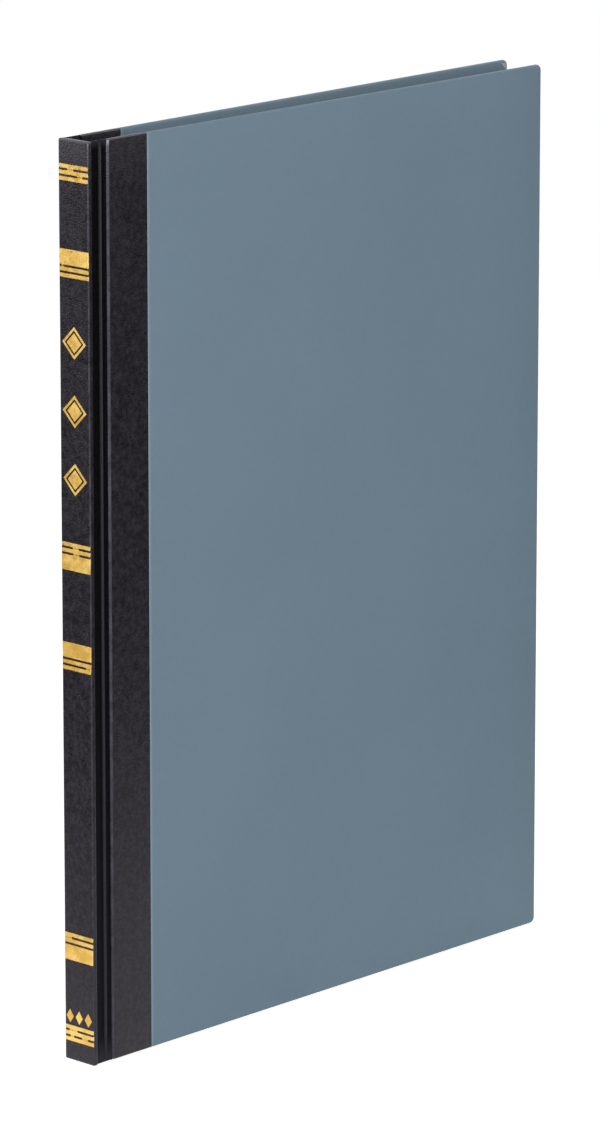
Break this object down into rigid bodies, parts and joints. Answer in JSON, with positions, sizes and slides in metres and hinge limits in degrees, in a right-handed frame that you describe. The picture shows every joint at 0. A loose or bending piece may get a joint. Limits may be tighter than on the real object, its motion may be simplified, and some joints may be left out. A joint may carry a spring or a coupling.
{
  "type": "accounting ledger",
  "caption": "Hardback account book with a flat black cloth spine, gold bands, blue-grey paper covers and sewn ruled leaves that open on hinges.",
  "frame": {"origin": "middle of the footprint, on the surface that the book's tail edge stands on", "axes": "+X from the spine to the fore-edge, +Y from the front cover to the back cover, +Z from tail to head"},
  "size_m": [0.188, 0.0148, 0.2636],
  "materials": {
    "black_cloth": "black book cloth with a fine leather grain",
    "blue_grey_paper": "smooth blue-grey cover paper, low sheen",
    "grey_board": "dense grey binder's board",
    "leaf_paper": "ruled ledger paper, matt",
    "endpaper": "plain strong endpaper",
    "mull": "open-weave lining cloth",
    "kraft": "kraft lining paper",
    "gold_foil": "stamped gold foil, slightly worn",
    "thread": "linen sewing thread",
    "band": "woven head band, blue and white"
  },
  "bodies": {
    "text_block": {"spine_strip": "grey_board", "spine_cloth": "black_cloth", "spine_lining": "kraft", "spine_mull": "mull", "head_band": "band", "tail_band": "band", "sewing_thread": "thread", "gold_lines": "gold_foil", "gold_bars": "gold_foil", "gold_lozenges": "gold_foil", "leaf_gutters": "leaf_paper", "front_groove_cloth": "black_cloth", "front_joint_strip": "endpaper", "back_groove_cloth": "black_cloth", "back_joint_strip": "endpaper", "section_05": "leaf_paper", "section_06": "leaf_paper"},
    "front_cover": {"front_board": "grey_board", "front_cover_paper": "blue_grey_paper", "front_cloth_side": "black_cloth", "front_pastedown": "endpaper", "front_mull_flange": "mull"},
    "front_leaves_1": {"section_01": "leaf_paper", "front_flyleaf": "endpaper"},
    "front_leaves_2": {"section_02": "leaf_paper"},
    "front_leaves_3": {"section_03": "leaf_paper"},
    "front_leaves_4": {"section_04": "leaf_paper"},
    "back_cover": {"back_board": "grey_board", "back_cover_paper": "blue_grey_paper", "back_cloth_side": "black_cloth", "back_pastedown": "endpaper", "back_mull_flange": "mull"},
    "back_leaves_1": {"section_10": "leaf_paper", "back_flyleaf": "endpaper"},
    "back_leaves_2": {"section_09": "leaf_paper"},
    "back_leaves_3": {"section_08": "leaf_paper"},
    "back_leaves_4": {"section_07": "leaf_paper"}
  },
  "joints": [
    {"name": "front_cover_hinge", "type": "hinge", "parent": "text_block", "child": "front_cover", "pos_m": [-0.08928, -0.00605, 0], "axis": [0, 0, -1], "range_deg": [0, 177.5], "deforming": ["front_groove_cloth", "front_joint_strip"]},
    {"name": "front_leaves_1_turn", "type": "hinge", "parent": "text_block", "child": "front_leaves_1", "pos_m": [-0.08928, -0.00605, 0], "axis": [0, 0, -1], "range_deg": [0, 177.5]},
    {"name": "front_leaves_2_turn", "type": "hinge", "parent": "text_block", "child": "front_leaves_2", "pos_m": [-0.08928, -0.00605, 0], "axis": [0, 0, -1], "range_deg": [0, 177.5]},
    {"name": "front_leaves_3_turn", "type": "hinge", "parent": "text_block", "child": "front_leaves_3", "pos_m": [-0.08928, -0.00605, 0], "axis": [0, 0, -1], "range_deg": [0, 177.5]},
    {"name": "front_leaves_4_turn", "type": "hinge", "parent": "text_block", "child": "front_leaves_4", "pos_m": [-0.08928, -0.00605, 0], "axis": [0, 0, -1], "range_deg": [0, 177.5]},
    {"name": "back_cover_hinge", "type": "hinge", "parent": "text_block", "child": "back_cover", "pos_m": [-0.08928, 0.00605, 0], "axis": [0, 0, 1], "range_deg": [0, 177.5], "deforming": ["back_groove_cloth", "back_joint_strip"]},
    {"name": "back_leaves_1_turn", "type": "hinge", "parent": "text_block", "child": "back_leaves_1", "pos_m": [-0.08928, 0.00605, 0], "axis": [0, 0, 1], "range_deg": [0, 177.5]},
    {"name": "back_leaves_2_turn", "type": "hinge", "parent": "text_block", "child": "back_leaves_2", "pos_m": [-0.08928, 0.00605, 0], "axis": [0, 0, 1], "range_deg": [0, 177.5]},
    {"name": "back_leaves_3_turn", "type": "hinge", "parent": "text_block", "child": "back_leaves_3", "pos_m": [-0.08928, 0.00605, 0], "axis": [0, 0, 1], "range_deg": [0, 177.5]},
    {"name": "back_leaves_4_turn", "type": "hinge", "parent": "text_block", "child": "back_leaves_4", "pos_m": [-0.08928, 0.00605, 0], "axis": [0, 0, 1], "range_deg": [0, 177.5]}
  ],
  "couplings": [
    {"joint": "front_leaves_1_turn", "follows": "front_cover_hinge", "ratio": 0.985},
    {"joint": "front_leaves_2_turn", "follows": "front_cover_hinge", "ratio": 0.97},
    {"joint": "front_leaves_3_turn", "follows": "front_cover_hinge", "ratio": 0.955},
    {"joint": "front_leaves_4_turn", "follows": "front_cover_hinge", "ratio": 0.94},
    {"joint": "back_leaves_1_turn", "follows": "back_cover_hinge", "ratio": 0.985},
    {"joint": "back_leaves_2_turn", "follows": "back_cover_hinge", "ratio": 0.97},
    {"joint": "back_leaves_3_turn", "follows": "back_cover_hinge", "ratio": 0.955},
    {"joint": "back_leaves_4_turn", "follows": "back_cover_hinge", "ratio": 0.94}
  ]
}
